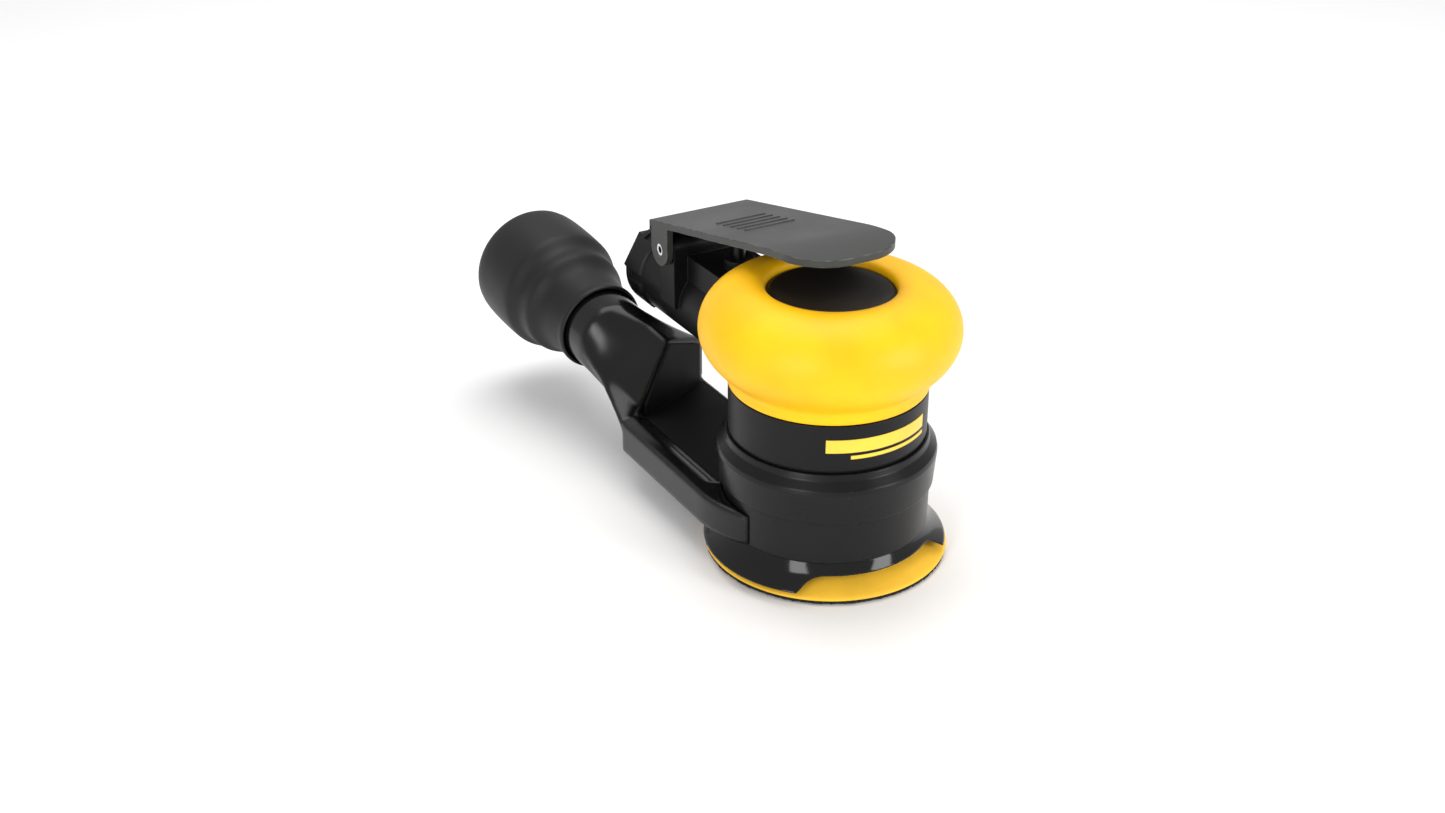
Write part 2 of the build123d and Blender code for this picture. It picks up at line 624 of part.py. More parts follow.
with BuildPart() as decal:
    decal_right = DECAL_FRONT + DECAL_HALF
    thin_top = DECAL_LOW + DECAL_THIN
    decal_bar(DECAL_FRONT - DECAL_HALF, decal_right, thin_top + DECAL_SPACE, DECAL_HIGH)
    decal_bar(DECAL_FRONT - DECAL_SHORT, decal_right, DECAL_LOW, thin_top)
decal.part.label = "decal"
export_step(decal.part, "parts/decal.step")

# ---------------------------------------------------------------- collar, shroud and skirt
with BuildPart() as clamp_collar:
    turned(
        Plane.XY,
        [
            (SPIGOT_R - 0.55, COLLAR_Z),
            (COLLAR_LOW_R, COLLAR_Z),
            (COLLAR_R, COLLAR_EDGE_Z - 1.4),
            (COLLAR_R - 0.3, COLLAR_EDGE_Z),
            (HOUSING_R + 1.2, HOUSING_Z - 3.2),
            (HOUSING_R + 0.7, HOUSING_Z - 1.3),
            (SPIGOT_R + SEAT, HOUSING_Z - 1.3),
            (SPIGOT_R + SEAT, SPIGOT_Z - SEAT),
            (SPIGOT_R - 0.55, SPIGOT_Z - SEAT),
        ],
    )
clamp_collar.part.label = "clamp_collar"
export_step(clamp_collar.part, "parts/clamp_collar.step")

with BuildPart() as shroud:
    turned(
        Plane.XY,
        [
            (SHROUD_R - SHROUD_WALL - 0.4, SHROUD_Z),
            (SHROUD_R - 0.3, SHROUD_Z),
            (SHROUD_R, SHROUD_Z + 0.3),
            (SHROUD_R, COLLAR_Z - 0.6),
            (SHROUD_R - 0.5, COLLAR_Z - SEAT),
            (SPIGOT_R - 0.6, COLLAR_Z - SEAT),
            (SPIGOT_R - 0.6, SPIGOT_Z - 2 * SEAT),
            (SHROUD_BORE_R, SPIGOT_Z - 2 * SEAT),
            (SHROUD_BORE_R, COLLAR_Z - 2.0),
            (SHROUD_R - SHROUD_WALL - 0.4, COLLAR_Z - 4.0),
        ],
    )
    # the window that lets the dust into the duct
    block(
        (DUCT_X + DUCT_ARM_WIDTH + WINDOW_EDGE, WINDOW_Y, DUCT_LOW_Z + DUCT_WALL),
        (DUCT_RIGHT_X - WINDOW_EDGE, 2 * SHROUD_R, LID_Z - LID_THICK),
        Mode.SUBTRACT,
    )
shroud.part.label = "shroud"
export_step(shroud.part, "parts/shroud.step")

SKIRT_LIP_R = SHROUD_R - SHROUD_WALL - 0.4 - SEAT
with BuildPart() as skirt:
    # a bell that flares from under the shroud, on a lip that holds it there
    with BuildSketch(Plane.XZ) as bell:
        with BuildLine():
            root_out = (SHROUD_R - 0.5, SHROUD_Z - SEAT)
            root_in = (SKIRT_LIP_R - SKIRT_WALL, SHROUD_Z - SEAT)
            rim_in = (SKIRT_R - SKIRT_WALL, SKIRT_Z)
            Spline(root_out, (SKIRT_R, SKIRT_Z), tangents=[(0.4, -1), (1, -0.8)])
            Line((SKIRT_R, SKIRT_Z), rim_in)
            Spline(rim_in, root_in, tangents=[(-1, 0.8), (-0.4, 1)])
            Polyline(root_in, (root_in[0], SHROUD_Z + 3), (SKIRT_LIP_R, SHROUD_Z + 3))
            Polyline((SKIRT_LIP_R, SHROUD_Z + 3), (SKIRT_LIP_R, root_out[1]), root_out)
        make_face()
    revolve(axis=Axis.Z)
    # the front notch, its two ends drawn down in an S
    with BuildSketch(Plane.XZ) as notch:
        with BuildLine():
            top_x = NOTCH_HALF - NOTCH_END
            left = Spline(
                (-NOTCH_HALF, SKIRT_Z - 1),
                (-top_x, SKIRT_FRONT_Z),
                tangents=[(1, 0.2), (1, 0)],
            )
            right = Spline(
                (top_x, SKIRT_FRONT_Z),
                (NOTCH_HALF, SKIRT_Z - 1),
                tangents=[(1, 0), (1, -0.2)],
            )
            Line(left @ 1, right @ 0)
            Line(right @ 1, left @ 0)
        make_face()
    extrude(notch.sketch, amount=2 * SKIRT_R, mode=Mode.SUBTRACT)
skirt.part.label = "skirt"
export_step(skirt.part, "parts/skirt.step")

# ---------------------------------------------------------------- vacuum duct
BAND_CLEAR_R = SHROUD_R + SEAT
ARM_IN_X = DUCT_X + DUCT_ARM_WIDTH
RIDGE_X = -14.1  # the front wall's highest corner
RIDGE_Z = 43.0
RIGHT_Z = 36.0
SCOOP_Y = 10.0  # the scoop's slabs start here, inside the shroud's outline, which trims them
# the volute's outer wall leaves the shroud on an arc tangent to the arm's straight face
VOLUTE_ANGLE = radians(194)
VOLUTE_START = (BAND_CLEAR_R * cos(VOLUTE_ANGLE), BAND_CLEAR_R * sin(VOLUTE_ANGLE))


def slant_y(x):
    """Where the duct's slanted front wall stands at a given x."""
    return DUCT_REAR_Y + (x - DUCT_X) * tan(SLANT)


def plan_prism(low_x, high_x, front_y, past, low_z, high_z, mode=Mode.ADD):
    """A slab that runs back from front_y to the slanted wall, and past it."""
    with BuildSketch(level(low_z)) as face:
        with BuildLine():
            Polyline(
                (low_x, front_y),
                (high_x, front_y),
                (high_x, slant_y(high_x) + past),
                (low_x, slant_y(low_x) + past),
                close=True,
            )
        make_face()
    extrude(face.sketch, amount=high_z - low_z, mode=mode)


def wall_corners(inset):
    """Corners of the duct's section at its front wall, drawn in by a wall, in that plane."""
    return [
        (DUCT_HEEL + inset / 2, DUCT_LOW_Z + inset),
        (inset, DUCT_HEEL_Z + inset / 2),
        (inset, DUCT_ARM_Z - 1 - inset / 2),
        (DUCT_ARM_WIDTH + inset / 2, DUCT_ARM_Z + 2 - inset),
        ((RIDGE_X - DUCT_X) / cos(SLANT), RIDGE_Z - 1.5 * inset),
        (DUCT_SPAN - inset, RIGHT_Z - inset),
        (DUCT_SPAN - inset, DUCT_LOW_Z + inset),
    ]


def tube_plane(along):
    """Plane across the hose tube, facing forwards, at a distance along its axis."""
    at = TUBE.origin + TUBE.z_dir * along
    return Plane(origin=at, x_dir=TUBE.x_dir, z_dir=-TUBE.z_dir)


BEARINGS = (250, 225, 200, 165, 75, 15, -50)  # where the seven corners meet the tube
FULL = (1, 2)  # the corners on the tube's lower left, which are full at the knee


def duct_body(front, inset, mode=Mode.ADD):
    """The loft from the front wall to the tube, by way of the tube's knee."""
    radius = TUBE_R - inset
    knee, join = tube_plane(TUBE_KNEE), tube_plane(TUBE_JOIN)
    corners = wall_corners(inset)
    knee_corners = []
    for index, (corner, bearing) in enumerate(zip(corners, BEARINGS)):
        rim = (radius * cos(radians(bearing)), radius * sin(radians(bearing)))
        start = knee.to_local_coords(front.from_local_coords(corner))
        end = knee.to_local_coords(join.from_local_coords(rim))
        share = start.Z / (start.Z - end.Z)
        across = start + (end - start) * share
        knee_corners.append(rim if index in FULL else (across.X, across.Y))
    with BuildSketch(front) as wall_face:
        with BuildLine():
            Polyline(*corners, close=True)
        make_face()
    with BuildSketch(knee) as knee_face:
        with BuildLine():
            Polyline(*knee_corners, close=True)
        make_face()
    with BuildSketch(join) as join_face:
        with BuildLine():
            CenterArc((0, 0), radius, BEARINGS[0], -360)
        make_face()
    loft([wall_face.sketch, knee_face.sketch], ruled=True, mode=mode)
    loft([knee_face.sketch, join_face.sketch], ruled=True, mode=mode)


with BuildPart() as vacuum_duct:
    with BuildSketch(level(DUCT_LOW_Z)):
        with BuildLine():
            TangentArc((DUCT_X, DUCT_VOLUTE_Y), VOLUTE_START, tangent=(0, -1))
            Polyline(
                VOLUTE_START,
                (0, 0),
                (ARM_IN_X, SHROUD_R / 2),
                (ARM_IN_X, slant_y(ARM_IN_X) + 1),
                (DUCT_X, slant_y(DUCT_X)),
                (DUCT_X, DUCT_VOLUTE_Y),
            )
        make_face()
    extrude(amount=DUCT_ARM_Z - DUCT_LOW_Z)
    arm_top = vacuum_duct.faces().sort_by(Axis.Z)[-1]
    arm_inner = arm_top.edges().filter_by(Axis.Y).sort_by(Axis.X)[-1]
    fillet(arm_inner, DUCT_ARM_WIDTH * 0.55)
    plan_prism(DUCT_X + 1, DUCT_RIGHT_X, SCOOP_Y, 1, DUCT_LOW_Z, LID_Z)
    duct_body(FRONT, 0)
    ring(tube_plane(TUBE_JOIN), TUBE_R, 0, -SPIGOT_LENGTH)
    # the hollow: scoop and arm, the lid's rebate, the transition and the tube
    lid_low = LID_Z - LID_THICK
    channel_x = (DUCT_X + DUCT_WALL, DUCT_RIGHT_X - DUCT_WALL)
    floor_z = DUCT_LOW_Z + DUCT_WALL
    plan_prism(*channel_x, SCOOP_Y, -DUCT_WALL, floor_z, lid_low, Mode.SUBTRACT)
    plan_prism(ARM_IN_X + DUCT_WALL, channel_x[1], SCOOP_Y, 3, floor_z, lid_low, Mode.SUBTRACT)
    plan_prism(ARM_IN_X + 1, channel_x[1], SCOOP_Y, 0, lid_low - 0.1, LID_Z + 1, Mode.SUBTRACT)
    duct_body(FRONT.offset(-DUCT_WALL), DUCT_WALL, Mode.SUBTRACT)
    bore_start = tube_plane(TUBE_JOIN - 0.01)
    ring(bore_start, TUBE_R - DUCT_WALL, 0, -SPIGOT_LENGTH - 1, Mode.SUBTRACT)
    ring(level(0), BAND_CLEAR_R, 0, HOUSING_TOP_Z, Mode.SUBTRACT)
    ring(TUBE.offset(CUFF_SEAL_AT), TUBE_R, TUBE_R - SEAL_DEPTH, SEAL_WIDTH, Mode.SUBTRACT)
vacuum_duct.part.label = "vacuum_duct"
export_step(vacuum_duct.part, "parts/vacuum_duct.step")

with BuildPart() as cuff_o_ring:
    seal_start = TUBE.offset(CUFF_SEAL_AT + SEAT)
    ring(seal_start, TUBE_R, TUBE_R - SEAL_DEPTH + SEAT, SEAL_WIDTH - 2 * SEAT)
cuff_o_ring.part.label = "cuff_o_ring"
export_step(cuff_o_ring.part, "parts/cuff_o_ring.step")

with BuildPart() as duct_lid:
    lid_x = (ARM_IN_X + 1 + SEAT, DUCT_RIGHT_X - DUCT_WALL - SEAT)
    plan_prism(*lid_x, SCOOP_Y, -SEAT, lid_low + SEAT, LID_Z)
    ring(level(0), BAND_CLEAR_R, 0, HOUSING_TOP_Z, Mode.SUBTRACT)
    # the upright part that lines the duct's front wall
    left_s = (lid_x[0] - DUCT_X) / cos(SLANT)
    right_s = (lid_x[1] - DUCT_X) / cos(SLANT) - LID_THICK
    with BuildSketch(FRONT.offset(SEAT)):
        with BuildLine():
            Polyline(
                (left_s, lid_low + SEAT),
                (left_s, DUCT_ARM_Z + 1.6),
                ((RIDGE_X - DUCT_X) / cos(SLANT), RIDGE_Z - 1.0),
                (right_s, RIGHT_Z - 0.6),
                (right_s, lid_low + SEAT),
                close=True,
            )
        make_face()
    extrude(amount=1.2)
duct_lid.part.label = "duct_lid"
export_step(duct_lid.part, "parts/duct_lid.step")

# ---------------------------------------------------------------- hose cuff
CUFF_BORE_R = TUBE_R + RUNNING

with BuildPart() as hose_cuff:
    rear = CUFF_START + CUFF_LENGTH
    body_start = rear - CUFF_BODY
    neck_end = CUFF_START + CUFF_NECK
    turned(
        TUBE,
        [
            (CUFF_BORE_R, CUFF_START),
            (CUFF_NECK_R - 0.1, CUFF_START),
            (CUFF_NECK_R + 0.3, CUFF_START + 0.4),
            (CUFF_NECK_R + 0.3, CUFF_START + 2.0),
            (CUFF_NECK_R, CUFF_START + 2.6),
            (CUFF_NECK_R + 0.6, neck_end),
            (CUFF_STEP_R - 0.8, neck_end + 4.0),
            (CUFF_STEP_R, neck_end + 5.5),
            (CUFF_STEP_R + 0.4, body_start - 4.0),
            (CUFF_R - 1.4, body_start),
            (CUFF_R - 0.6, body_start + 2.0),
            (CUFF_R, rear - 1.0),
            (CUFF_R - 1.0, rear),
            (HOSE_R, rear),
            (HOSE_R, CUFF_START + CUFF_LAP + 3.5),
            (CUFF_BORE_R, CUFF_START + CUFF_LAP + 1.5),
        ],
    )
hose_cuff.part.label = "hose_cuff"
export_step(hose_cuff.part, "parts/hose_cuff.step")

# ---------------------------------------------------------------- inlet fittings and valve
RING_Y = INLET_END + 0.3
BUSHING_Y = RING_Y + SPEED_RING_WIDTH + 0.3
BUSHING_IN = 18.0  # how far the bushing reaches into the neck

with BuildPart() as speed_ring:
    ring(INLET.offset(RING_Y), SPEED_RING_R, INLET_BORE_R + RUNNING, SPEED_RING_WIDTH)
    chamfer(speed_ring.edges().filter_by(GeomType.CIRCLE).group_by(SortBy.RADIUS)[-1], 0.8)
    with BuildSketch(INLET.offset(RING_Y)) as notches:
        with PolarLocations(SPEED_RING_R, SPEED_RING_NOTCHES):
            Rectangle(1.6, 3.4)
    extrude(notches.sketch, amount=SPEED_RING_WIDTH * 0.7, mode=Mode.SUBTRACT)
speed_ring.part.label = "speed_ring"
export_step(speed_ring.part, "parts/speed_ring.step")

with BuildPart() as inlet_bushing:
    body_low = INLET_END - BUSHING_IN
    ring(INLET.offset(body_low), INLET_BORE_R - SEAT, 0, BUSHING_Y - body_low)
    with BuildSketch(INLET.offset(BUSHING_Y)):
        RegularPolygon(BUSHING_FLANGE_R, 6, major_radius=True)
    extrude(amount=BUSHING_FLANGE)
    bushing_end = BUSHING_Y + BUSHING_FLANGE
    thread_start = bushing_end - INLET_THREAD_LENGTH
    ring(INLET.offset(thread_start), INLET_THREAD_R, 0, INLET_THREAD_LENGTH, Mode.SUBTRACT)
    ring(INLET.offset(body_low), INLET_THREAD_R - 1.3, 0, thread_start - body_low, Mode.SUBTRACT)
    ring(INLET.offset(body_low), INLET_BORE_R - 2.4, 0, 3.0, Mode.SUBTRACT)
    seal_y = body_low + BUSHING_IN / 2
    ring(INLET.offset(seal_y), INLET_BORE_R, INLET_BORE_R - SEAL_DEPTH, SEAL_WIDTH, Mode.SUBTRACT)
inlet_bushing.part.label = "inlet_bushing"
export_step(inlet_bushing.part, "parts/inlet_bushing.step")

with BuildPart() as inlet_o_ring:
    seal_inner = INLET_BORE_R - SEAL_DEPTH + SEAT
    ring(INLET.offset(seal_y + SEAT), INLET_BORE_R - SEAT, seal_inner, SEAL_WIDTH - 2 * SEAT)
inlet_o_ring.part.label = "inlet_o_ring"
export_step(inlet_o_ring.part, "parts/inlet_o_ring.step")

with BuildPart() as air_screen:
    with BuildSketch(INLET.offset(body_low + 3.0 - 0.8)):
        Circle(INLET_BORE_R - 2.4 - SEAT)
        with HexLocations(1.1, 5, 5):
            Circle(0.7, mode=Mode.SUBTRACT)
    extrude(amount=0.7)
air_screen.part.label = "air_screen"
export_step(air_screen.part, "parts/air_screen.step")

with BuildPart() as valve_seat:
    ring(INLET.offset(SEAT_Y), INLET_BORE_R - SEAT, VALVE_SHANK_R + 2.6, SEAT_THICK)
valve_seat.part.label = "valve_seat"
export_step(valve_seat.part, "parts/valve_seat.step")

DISC_Y = SEAT_Y + SEAT_THICK + VALVE_LIFT
with BuildPart() as tip_valve:
    ring(INLET.offset(DISC_Y), VALVE_DISC_R, 0, 2.0)
    ring(INLET.offset(DISC_Y + 2.0), 2.6, 0, 2.0)
    ring(INLET.offset(STEM_Y - 3), VALVE_SHANK_R, 0, DISC_Y - STEM_Y + 3)
tip_valve.part.label = "tip_valve"
export_step(tip_valve.part, "parts/tip_valve.step")

SPRING_WIRE_R = 0.45
SPRING_R = 4.8
SPRING_Y = DISC_Y + 2.0 + 1.6
SPRING_LENGTH = body_low - 1.0 - SPRING_Y
with BuildPart() as valve_spring:
    with BuildLine() as coil:
        Helix(
            pitch=SPRING_LENGTH / 4,
            height=SPRING_LENGTH,
            radius=SPRING_R,
            center=(0, SPRING_Y, INLET_Z),
            direction=(0, 1, 0),
        )
    with BuildSketch(Plane(origin=coil.line @ 0, z_dir=coil.line % 0)):
        Circle(SPRING_WIRE_R)
    sweep()
valve_spring.part.label = "valve_spring"
export_step(valve_spring.part, "parts/valve_spring.step")

STEM_SEAL_DOWN = 6.0  # from the neck's top face
STEM_SEAL_DEPTH = 0.6
STEM_SEAL_WIDTH = 1.2
STEM_FOOT_Z = INLET_Z + VALVE_SHANK_R + GAP
STEM_TOP_Z = lever_top(STEM_Y) - LEVER_THICK / cos(radians(LEVER_SLOPE)) - 0.9
with BuildPart() as valve_stem:
    ring(Plane(origin=(0, STEM_Y, STEM_FOOT_Z)), STEM_R, 0, STEM_TOP_Z - STEM_FOOT_Z)
    fillet(valve_stem.faces().sort_by(Axis.Z)[-1].edges(), 0.7)
    stem_seal = Plane(origin=(0, STEM_Y, NECK_TOP_Z - STEM_SEAL_DOWN))
    ring(stem_seal, STEM_R, STEM_R - STEM_SEAL_DEPTH, STEM_SEAL_WIDTH + 2 * SEAT, Mode.SUBTRACT)
valve_stem.part.label = "valve_stem"
export_step(valve_stem.part, "parts/valve_stem.step")

with BuildPart() as stem_o_ring:
    ring(stem_seal.offset(SEAT), STEM_R, STEM_R - STEM_SEAL_DEPTH, STEM_SEAL_WIDTH)
stem_o_ring.part.label = "stem_o_ring"
export_step(stem_o_ring.part, "parts/stem_o_ring.step")

# ---------------------------------------------------------------- lever and pin
EAR_IN = LEVER_WIDTH / 2 - LEVER_THICK
slope = radians(LEVER_SLOPE)
mean_slope = radians((LEVER_SLOPE + LEVER_TIP_SLOPE) / 2)
bend = (LEVER_BEND_Y, lever_top(LEVER_BEND_Y))
back = (LEVER_REAR_Y, lever_top(LEVER_REAR_Y))
tip = (LEVER_FRONT_Y, bend[1] + (LEVER_BEND_Y - LEVER_FRONT_Y) * tan(mean_slope))
TAIL = 4.0  # how far the rear edge is turned down

with BuildPart() as lever:
    with BuildSketch(SIDE.offset(-LEVER_WIDTH / 2)):
        with BuildLine():
            straight = Line(back, bend)
            TangentArc(bend, tip, tangent=straight % 1)
            TangentArc(back, (back[0] + TAIL, back[1] - TAIL), tangent=(straight % 0) * -1)
            offset(amount=LEVER_THICK, side=Side.LEFT)
        make_face()
    extrude(amount=LEVER_WIDTH)
    # plan outline, well rounded at the front
    plan_rear = LEVER_REAR_Y + TAIL + LEVER_THICK
    with BuildSketch(level(0)) as plan:
        with Locations((0, (LEVER_FRONT_Y + plan_rear) / 2)):
            Rectangle(LEVER_WIDTH, plan_rear - LEVER_FRONT_Y)
        fillet(plan.vertices().group_by(Axis.Y)[0], LEVER_CORNER)
        fillet(plan.vertices().group_by(Axis.Y)[-1], LEVER_REAR_CORNER)
    extrude(amount=2 * HINGE_Z, mode=Mode.INTERSECT)
    # the ears, one each side of the hinge lug
    for side in (-1, 1):
        ear_x = -LEVER_WIDTH / 2 if side < 0 else EAR_IN
        with BuildSketch(SIDE.offset(ear_x)) as ear:
            with Locations((HINGE_Y, HINGE_Z)):
                Circle(EAR_HALF)
            with BuildLine():
                Polyline(
                    (HINGE_Y - EAR_HALF, HINGE_Z),
                    (HINGE_Y - EAR_HALF, lever_top(HINGE_Y - EAR_HALF) - LEVER_THICK / 2),
                    (HINGE_Y + EAR_HALF, lever_top(HINGE_Y + EAR_HALF) - LEVER_THICK / 2),
                    (HINGE_Y + EAR_HALF, HINGE_Z),
                    close=True,
                )
            make_face()
        extrude(ear.sketch, amount=LEVER_THICK)
    pin_axis = Plane(origin=(-LEVER_WIDTH, HINGE_Y, HINGE_Z), z_dir=(1, 0, 0))
    ring(pin_axis, PIN_R + RUNNING, 0, 2 * LEVER_WIDTH, Mode.SUBTRACT)
lever.part.label = "lever"
export_step(lever.part, "parts/lever.step")

with BuildPart() as lever_pin:
    pin_half = LEVER_WIDTH / 2 - 0.2
    pin_start = Plane(origin=(-pin_half, HINGE_Y, HINGE_Z), z_dir=(1, 0, 0))
    ring(pin_start, PIN_R, PIN_BORE_R, 2 * pin_half)
lever_pin.part.label = "lever_pin"
export_step(lever_pin.part, "parts/lever_pin.step")
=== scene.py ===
import json
import math
import random

import bpy
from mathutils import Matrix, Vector

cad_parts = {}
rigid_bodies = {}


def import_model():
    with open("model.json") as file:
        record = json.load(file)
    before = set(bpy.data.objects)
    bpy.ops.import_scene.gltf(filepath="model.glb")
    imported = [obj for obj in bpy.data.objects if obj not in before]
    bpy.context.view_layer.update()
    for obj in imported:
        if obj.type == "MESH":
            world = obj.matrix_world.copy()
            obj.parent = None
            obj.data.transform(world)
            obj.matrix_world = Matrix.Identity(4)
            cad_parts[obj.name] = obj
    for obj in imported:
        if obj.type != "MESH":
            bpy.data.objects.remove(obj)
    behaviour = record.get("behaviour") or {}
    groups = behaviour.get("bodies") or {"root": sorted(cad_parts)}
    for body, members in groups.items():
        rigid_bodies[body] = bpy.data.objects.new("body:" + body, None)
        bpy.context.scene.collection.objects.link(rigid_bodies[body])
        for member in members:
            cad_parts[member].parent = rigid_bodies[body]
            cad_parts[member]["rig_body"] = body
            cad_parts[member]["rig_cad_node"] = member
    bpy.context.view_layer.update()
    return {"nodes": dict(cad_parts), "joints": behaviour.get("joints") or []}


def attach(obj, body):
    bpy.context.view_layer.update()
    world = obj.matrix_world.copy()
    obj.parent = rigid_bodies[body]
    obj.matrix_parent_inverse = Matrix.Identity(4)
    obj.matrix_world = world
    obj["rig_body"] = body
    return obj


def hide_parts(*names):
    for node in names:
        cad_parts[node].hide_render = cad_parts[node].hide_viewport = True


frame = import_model()
joints = {joint["name"]: joint for joint in frame["joints"]}


# ------------------------------------------------------------------ motor stack
# Cylinder, end plates, lock ring, rotor and shaft: hardened steel, turned and ground,
# slid into the housing as one stack and held there by the lock ring.
def add(tree, kind, inputs=None, **settings):
    """A shader node with its settings, its inputs given as values or as sockets that feed them."""
    node = tree.nodes.new(kind)
    for key, value in settings.items():
        setattr(node, key, value)
    for key, value in (inputs or {}).items():
        if isinstance(value, bpy.types.NodeSocket):
            tree.links.new(value, node.inputs[key])
        else:
            node.inputs[key].default_value = value
    return node


def new_group(name, inputs, outputs):
    """An empty shader group with float or vector sockets, and its two end nodes."""
    tree = bpy.data.node_groups.new(name, "ShaderNodeTree")
    for label, value in inputs.items():
        socket = tree.interface.new_socket(label, in_out="INPUT", socket_type="NodeSocketFloat")
        socket.default_value = value
    for label, kind in outputs.items():
        tree.interface.new_socket(label, in_out="OUTPUT", socket_type="NodeSocket" + kind)
    return tree, tree.nodes.new("NodeGroupInput"), tree.nodes.new("NodeGroupOutput")


# Fine relief of a surface: a close grain for Bump, and a slow cloud that varies tone and gloss.
grain, grain_in, grain_out = new_group(
    "surface_grain", {"Scale": 1500.0}, {"Height": "Float", "Cloud": "Float"}
)
place = add(grain, "ShaderNodeTexCoord").outputs["Object"]
close = add(grain, "ShaderNodeTexNoise", {"Vector": place, "Scale": grain_in.outputs["Scale"], "Detail": 3.0})
slow_scale = add(grain, "ShaderNodeMath", {0: grain_in.outputs["Scale"], 1: 0.03}, operation="MULTIPLY")
slow = add(grain, "ShaderNodeTexNoise", {"Vector": place, "Scale": slow_scale.outputs[0], "Detail": 4.0})
grain.links.new(close.outputs["Fac"], grain_out.inputs["Height"])
grain.links.new(slow.outputs["Fac"], grain_out.inputs["Cloud"])

# Edges: a rounded normal over sharp corners, and a broken mask where handling rubs them.
edges, edges_in, edges_out = new_group(
    "worn_edges", {"Radius": 0.0005, "Break": 400.0}, {"Normal": "Vector", "Mask": "Float"}
)
rounded = add(edges, "ShaderNodeBevel", {"Radius": edges_in.outputs["Radius"]}, samples=6)
flat = add(edges, "ShaderNodeNewGeometry")
agree = add(
    edges, "ShaderNodeVectorMath", {0: rounded.outputs[0], 1: flat.outputs["Normal"]}, operation="DOT_PRODUCT"
)
turned_away = add(
    edges, "ShaderNodeMapRange", {"Value": agree.outputs["Value"], "From Min": 0.995, "From Max": 0.86}
)
chips = add(
    edges,
    "ShaderNodeTexNoise",
    {
        "Vector": add(edges, "ShaderNodeTexCoord").outputs["Object"],
        "Scale": edges_in.outputs["Break"],
        "Detail": 5.0,
    },
)
broken = add(edges, "ShaderNodeMapRange", {"Value": chips.outputs["Fac"], "From Min": 0.42, "From Max": 0.66})
rubbed = add(edges, "ShaderNodeMath", {0: turned_away.outputs[0], 1: broken.outputs[0]}, operation="MULTIPLY")
edges.links.new(rounded.outputs[0], edges_out.inputs["Normal"])
edges.links.new(rubbed.outputs[0], edges_out.inputs["Mask"])


def finish_material(name, colour, worn, roughness, scale, relief, radius=0.0004, spread=0.08, **shader):
    """A finish: its colour drifts slightly, its corners rub to another colour, its grain is relief."""
    material = bpy.data.materials.new(name)
    material.use_nodes = True
    tree = material.node_tree
    tree.nodes.clear()
    fine = add(tree, "ShaderNodeGroup", node_tree=grain)
    fine.inputs["Scale"].default_value = scale
    edge = add(tree, "ShaderNodeGroup", node_tree=edges)
    edge.inputs["Radius"].default_value = radius
    drift = add(
        tree,
        "ShaderNodeMapRange",
        {"Value": fine.outputs["Cloud"], "From Min": 0.3, "From Max": 0.7, "To Min": 0.86, "To Max": 1.1},
    )
    # a colour Mix node's factor is input 0, its two colours are inputs 6 and 7, its result is output 2
    tone = add(
        tree,
        "ShaderNodeMix",
        {0: 1.0, 6: (*colour, 1), 7: drift.outputs[0]},
        data_type="RGBA",
        blend_type="MULTIPLY",
    )
    rub = add(
        tree, "ShaderNodeMix", {0: edge.outputs["Mask"], 6: tone.outputs[2], 7: (*worn, 1)}, data_type="RGBA"
    )
    gloss = add(
        tree,
        "ShaderNodeMapRange",
        {
            "Value": fine.outputs["Cloud"],
            "From Min": 0.3,
            "From Max": 0.7,
            "To Min": roughness - spread / 2,
            "To Max": roughness + spread / 2,
        },
    )
    relieved = add(
        tree,
        "ShaderNodeBump",
        {
            "Strength": 1.0,
            "Distance": relief,
            "Height": fine.outputs["Height"],
            "Normal": edge.outputs["Normal"],
        },
    )
    surface = add(
        tree,
        "ShaderNodeBsdfPrincipled",
        {"Base Color": rub.outputs[2], "Roughness": gloss.outputs[0], "Normal": relieved.outputs[0]},
    )
    for label, value in shader.items():
        surface.inputs[label.replace("_", " ")].default_value = value
    add(tree, "ShaderNodeOutputMaterial", {"Surface": surface.outputs[0]})
    return material


def dress(material, *nodes):
    """Gives CAD nodes their finish."""
    for node in nodes:
        frame["nodes"][node].material_slots[0].material = material


turned_steel = finish_material(
    "turned_steel", (0.42, 0.42, 0.43), (0.62, 0.62, 0.63), 0.32, 2600, 0.000006, Metallic=1.0
)
ground_steel = finish_material(
    "ground_steel", (0.56, 0.56, 0.58), (0.7, 0.7, 0.7), 0.16, 4000, 0.000002, Metallic=1.0
)
vane_board = finish_material("vane_board", (0.16, 0.1, 0.05), (0.24, 0.17, 0.1), 0.6, 1800, 0.00002)
sealing_rubber = finish_material(
    "sealing_rubber", (0.012, 0.012, 0.012), (0.02, 0.02, 0.02), 0.55, 2500, 0.00001
)
dress(turned_steel, "cylinder", "front_endplate", "rear_endplate", "lock_ring", "rotor", "rotor_key")
dress(turned_steel, "shaft_balancer", "spindle", "spindle_retaining_ring", "spindle_shield")
dress(ground_steel, "front_bearing", "rear_bearing", "spindle_bearing", "cylinder_dowel")
dress(vane_board, "rotor_vanes")
dress(sealing_rubber, "housing_o_ring", "stem_o_ring", "inlet_o_ring", "cuff_o_ring")

